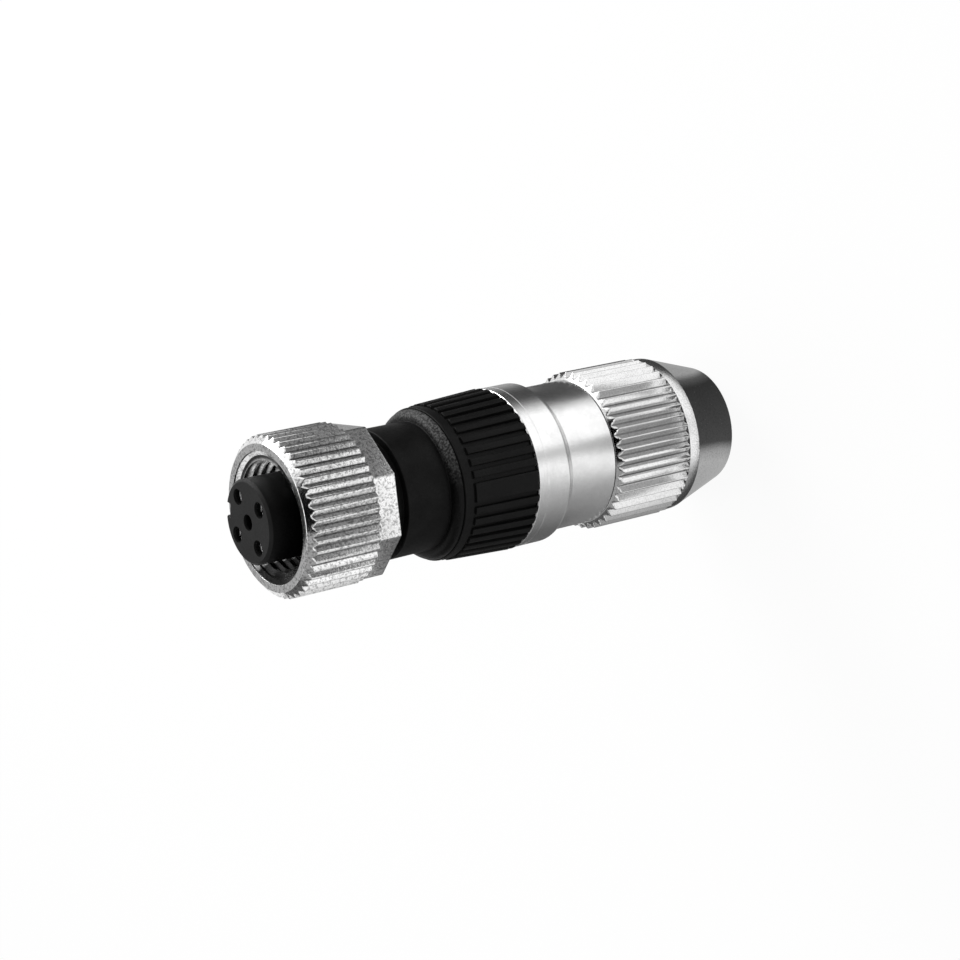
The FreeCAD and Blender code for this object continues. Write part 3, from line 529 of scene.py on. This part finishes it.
rear_spigot, front_spigot = 6.9, 6.7
sleeve_angle = even_angles(192)
sleeve_outline = rounded_profile(
    [(5.3, 9.0, 0), (6.5, 9.0, 0), (rear_spigot, 9.4, 0)]
    + run((rear_spigot, 9.4), (rear_spigot, 16.5), 84)
    + [(rear_spigot, 16.5, 0), (rear_spigot, 16.9, 0), (7.46, 16.9, 0.08), (7.46, 22.4, 0.1),
       (8.22, 23.3, 0.5), (8.22, 25.93, 0), (8.20, 25.96, 0), (8.20, 26.02, 0), (8.22, 26.05, 0),
       (8.22, 27.0, 0.05), (8.08, 27.1, 0.04), (front_spigot, 27.1, 0), (front_spigot, 27.5, 0)]
    + run((front_spigot, 27.5), (front_spigot, 31.2), 44)
    + [(front_spigot, 31.2, 0), (6.4, 31.5, 0), (5.6, 31.5, 0), (5.6, 19.9, 0), (3.9, 19.9, 0),
       (3.9, 18.4, 0), (5.3, 18.4, 0)], steps=6)
sleeve_reach, sleeve_height = round_the_axis(sleeve_outline, sleeve_angle)
rear = (sleeve_outline[:, 0] == rear_spigot) & (sleeve_outline[:, 1] < 16.6)
sleeve_reach[rear] = screw_thread(sleeve_height[rear], sleeve_angle, rear_spigot, 0.55, 9.3, 16.5)
front = (sleeve_outline[:, 0] == front_spigot) & (sleeve_outline[:, 1] > 27.4)
sleeve_reach[front] = screw_thread(sleeve_height[front], sleeve_angle, front_spigot, 0.5, 27.5, 31.3)
sleeve_shell = closed_shell("metal_sleeve_plated", sleeve_reach, sleeve_height, sleeve_angle)
sleeve_nickel = nickel_plate("sleeve_nickel", tone=0.82, roughness=0.24, grain=0.12, lift=0.006,
                             mottle=0.10, pitting=0.05, turning=0.0008)
dress(sleeve_shell, sleeve_nickel, "sleeve", "metal_sleeve")


# Splice ring, contact carrier and the four forks. Moulded wire organiser inside the sleeve, pressed
# over stamped and tinned forks that stand on the carrier's rear face and cut through the insulation.
carrier_dark = moulded_plastic("carrier_dark", tone=0.05, roughness=0.45, grain=0.2, lift=0.006)
coat("splice_ring", carrier_dark)
coat("contact_carrier", carrier_dark)
fork_tin = nickel_plate("fork_tin", tone=0.72, roughness=0.35, grain=0.2, lift=0.004, mottle=0.15,
                        pitting=0.05)
for number in range(1, 5):
    coat(f"idc_fork_{number}", fork_tin)


# Grip ring. The union ring between sleeve and front body, moulded in black plastic over its thread:
# flat-topped ribs with square front ends, narrow grooves between them and one wide plain pad.
def rib_angles(pitches, first, groove, reach):
    """Angles round the ribs, closer together at both edges of every groove. Half a groove as an angle
    is half its width over the reach, and the steps before and after its edge are in radians."""
    half = groove / 2 / reach
    side = np.array([half * 0.5, half - 0.004, half, half + 0.006, half + 0.02, half + 0.05])
    steps = np.concatenate([-side[::-1], [0.0], side, [np.pi / pitches]])
    return np.sort((first + np.arange(pitches)[:, None] * 2 * np.pi / pitches + steps[None]).ravel())


rib_rear, rib_front, rib_middle_reach = 27.15, 34.45, 8.1
grip_pitches, grip_groove = 40, 0.46
grip_pitch = np.radians(360 / grip_pitches)
grip_first = np.radians(290.2)
grip_angle = rib_angles(grip_pitches, grip_first, grip_groove, rib_middle_reach)
grip_outline = rounded_profile(
    [(7.05, rib_rear, 0.05), (8.31, rib_rear, 0.12)] + run((8.31, rib_rear), (7.92, rib_front), 6)
    + [(7.92, rib_front, 0.09), (7.6, rib_front, 0.03), (7.6, 34.65, 0.03), (7.75, 34.65, 0.05),
       (7.75, 35.65, 0.1), (5.8, 35.65, 0), (5.8, 33.15, 0), (6.75, 33.15, 0), (6.75, 27.45, 0)])
grip_reach, grip_height = round_the_axis(grip_outline, grip_angle)
turned_back = (grip_angle - grip_first) % (2 * np.pi)
groove_number = np.round(turned_back / grip_pitch).astype(int) % grip_pitches
from_groove = np.abs((turned_back + grip_pitch / 2) % grip_pitch - grip_pitch / 2) * rib_middle_reach
wide_pad = groove_number == grip_pitches - 1
depth_share = np.clip((grip_groove / 2 - from_groove) / 0.06 + 1, 0, 1) * ~wide_pad
groove_floor = 7.6 + 0.27 * np.clip((rib_front - grip_height) / 7.3, 0, 1)
ribbed = (grip_outline[:, 0] > 7.6) & (grip_outline[:, 1] < rib_front + 0.01)
cut_to = grip_reach * (1 - depth_share) + np.minimum(grip_reach, groove_floor) * depth_share
grip_reach[ribbed] = cut_to[ribbed]
grip_shell = closed_shell("grip_ring_moulded", grip_reach, grip_height, grip_angle)
grip_black = moulded_plastic("grip_black", tone=0.0040, roughness=0.50, grain=0.22, lift=0.010,
                             gloss=0.12)
dress(grip_shell, grip_black, "union", "grip_ring")


# Front body. Black plastic neck with a rounded shoulder, moulded round the insert's tail. The shoulder
# has the coarse eroded texture of its mould, the neck a finer one. The shoulder's specks also get
# lighter towards one side, a painted highlight of the light that falls there.
def bowed(start, end, radius, count):
    """Corners on an arc from start to end that bows to the right of the way: the arc's middle lies
    left of the chord's middle at the square root of radius squared less half the chord squared."""
    start, end = np.array(start), np.array(end)
    half = (end - start) / 2
    length = np.linalg.norm(half)
    middle = start + half + np.array([-half[1], half[0]]) / length * np.sqrt(radius**2 - length**2)
    points = arc(middle, start - middle, end - middle, count + 2)[1:-1]
    return [(distance, height, 0) for distance, height in points]


front_angle = even_angles(256)
front_outline = rounded_profile(
    [(4.95, 33.12, 0), (5.7, 33.12, 0), (5.7, 35.7, 0), (7.6, 35.7, 0.05), (7.6, 35.85, 0)]
    + bowed((7.6, 35.85), (6.52, 36.55), 0.95, 14)
    + [(6.52, 36.55, 0.05), (6.55, 41.5, 0.14), (5.7, 41.5, 0.05), (5.7, 43.05, 0.05),
       (4.95, 43.05, 0)])
front_reach, front_height = round_the_axis(front_outline, front_angle)
front_shell = closed_shell("front_body_moulded", front_reach, front_height, front_angle)
front_black = moulded_plastic("front_black", tone=0.0040, roughness=0.45, grain=0.20, lift=0.022,
                              mottle=0.45, gloss=0.10, zone=(36.5, 0.003, 0.11), zone_gloss=0.12)
dress(front_shell, front_black, "front", "front_body")


# Contact insert with its four sockets. Dark grey plastic barrel with the keyway, with painted shade
# below its end face where the nut shades it, and turned, plated sockets that sit behind the entry
# holes. The middle hole is blind and empty.
insert_grey = moulded_plastic("insert_grey", tone=0.011, roughness=0.5, grain=0.18, lift=0.004,
                              mottle=0.15, gloss=0.12, zone=(55.15, 0.002, 0.003), zone_gloss=0.10)
coat("contact_insert", insert_grey)
contact_plate = nickel_plate("contact_plate", tone=0.9, roughness=0.55, grain=0.1, lift=0.002,
                             mottle=0.1, pitting=0.0)
for number in range(1, 5):
    coat(f"contact_{number}", contact_plate)


# Coupling nut and its slip ring. Die-cast nut with a V-knurl, an eight-sided flange for a spanner and
# an M12x1 thread inside, nickel-plated over a grainy skin. The ring is split spring steel.
def octagon(angle, across_flats, corner, phase):
    """Distance of an eight-sided flange: half its width over the cosine of the angle from the nearest
    flat's middle, and no more than its turned corners."""
    away = (angle - phase + np.pi / 8) % (np.pi / 4) - np.pi / 8
    return np.minimum(across_flats / 2 / np.cos(away), corner)


coupling_crest, coupling_knurls, coupling_land = 8.02, 48, 0.24
flange_corner, flange_top = 7.88, 45.6
thread_crest, thread_root, thread_shift = 5.46, 6.0, 0.08
coupling_phase = np.radians(5.35)
coupling_angle = knurl_angles(coupling_knurls, coupling_phase, coupling_land)
coupling_outline = rounded_profile(
    [(5.2, 43.1, 0.1), (flange_corner, 43.1, 0.14), (flange_corner, flange_top, 0),
     (coupling_crest, flange_top, 0.03), (coupling_crest, 52.7, 0)]
    + run((coupling_crest, 52.7), (7.25, 53.4), 8)
    + [(7.25, 53.4, 0.06), (6.52, 53.4, 0.02), (6.47, 53.22, 0)]
    + run((6.47, 53.22), (thread_root, 52.95), 8)
    + run((thread_root, 52.95), (thread_root, 46.8), 74)
    + [(thread_root, 46.4, 0), (6.35, 46.4, 0), (6.35, 45.3, 0), (5.2, 45.3, 0)])
coupling_reach, coupling_height = round_the_axis(coupling_outline, coupling_angle)
outer = coupling_outline[:, 0] > 7.24
flange = outer & (coupling_outline[:, 1] < flange_top + 0.01) & (coupling_outline[:, 0] < 7.885)
sides = octagon(coupling_angle, 14.6, flange_corner, np.radians(15))
coupling_reach[flange] += sides - flange_corner
knurled = outer & ~flange
coupling_knurl = v_knurl(coupling_angle, coupling_crest, 0.36, coupling_knurls, coupling_phase,
                         coupling_land)
coupling_reach[knurled] = np.minimum(coupling_reach[knurled], coupling_knurl)
threaded = (np.abs(coupling_outline[:, 0] - thread_root) < 0.001) & (coupling_outline[:, 1] > 46.5)
coupling_reach[threaded] = screw_thread(coupling_height[threaded] + thread_shift, coupling_angle,
                                        thread_crest, thread_crest - thread_root, 46.6, 54.8)
coupling_shell = closed_shell("coupling_nut_plated", coupling_reach, coupling_height, coupling_angle)
# Painted shade at the bottom of the knurl's grooves and inside the threaded bore.
coupling_nickel = nickel_plate("coupling_nut_nickel", tone=0.86, roughness=0.15, grain=0.26, lift=0.010,
                               mottle=0.12, pitting=0.50, bore=6.05, groove=(7.66, flange_top, 52.9))
dress(coupling_shell, coupling_nickel, "coupling", "coupling_nut")
spring_steel = nickel_plate("spring_steel", tone=0.5, roughness=0.3, grain=0.2, lift=0.003, mottle=0.1,
                            pitting=0.0)
coat("retaining_ring", spring_steel)
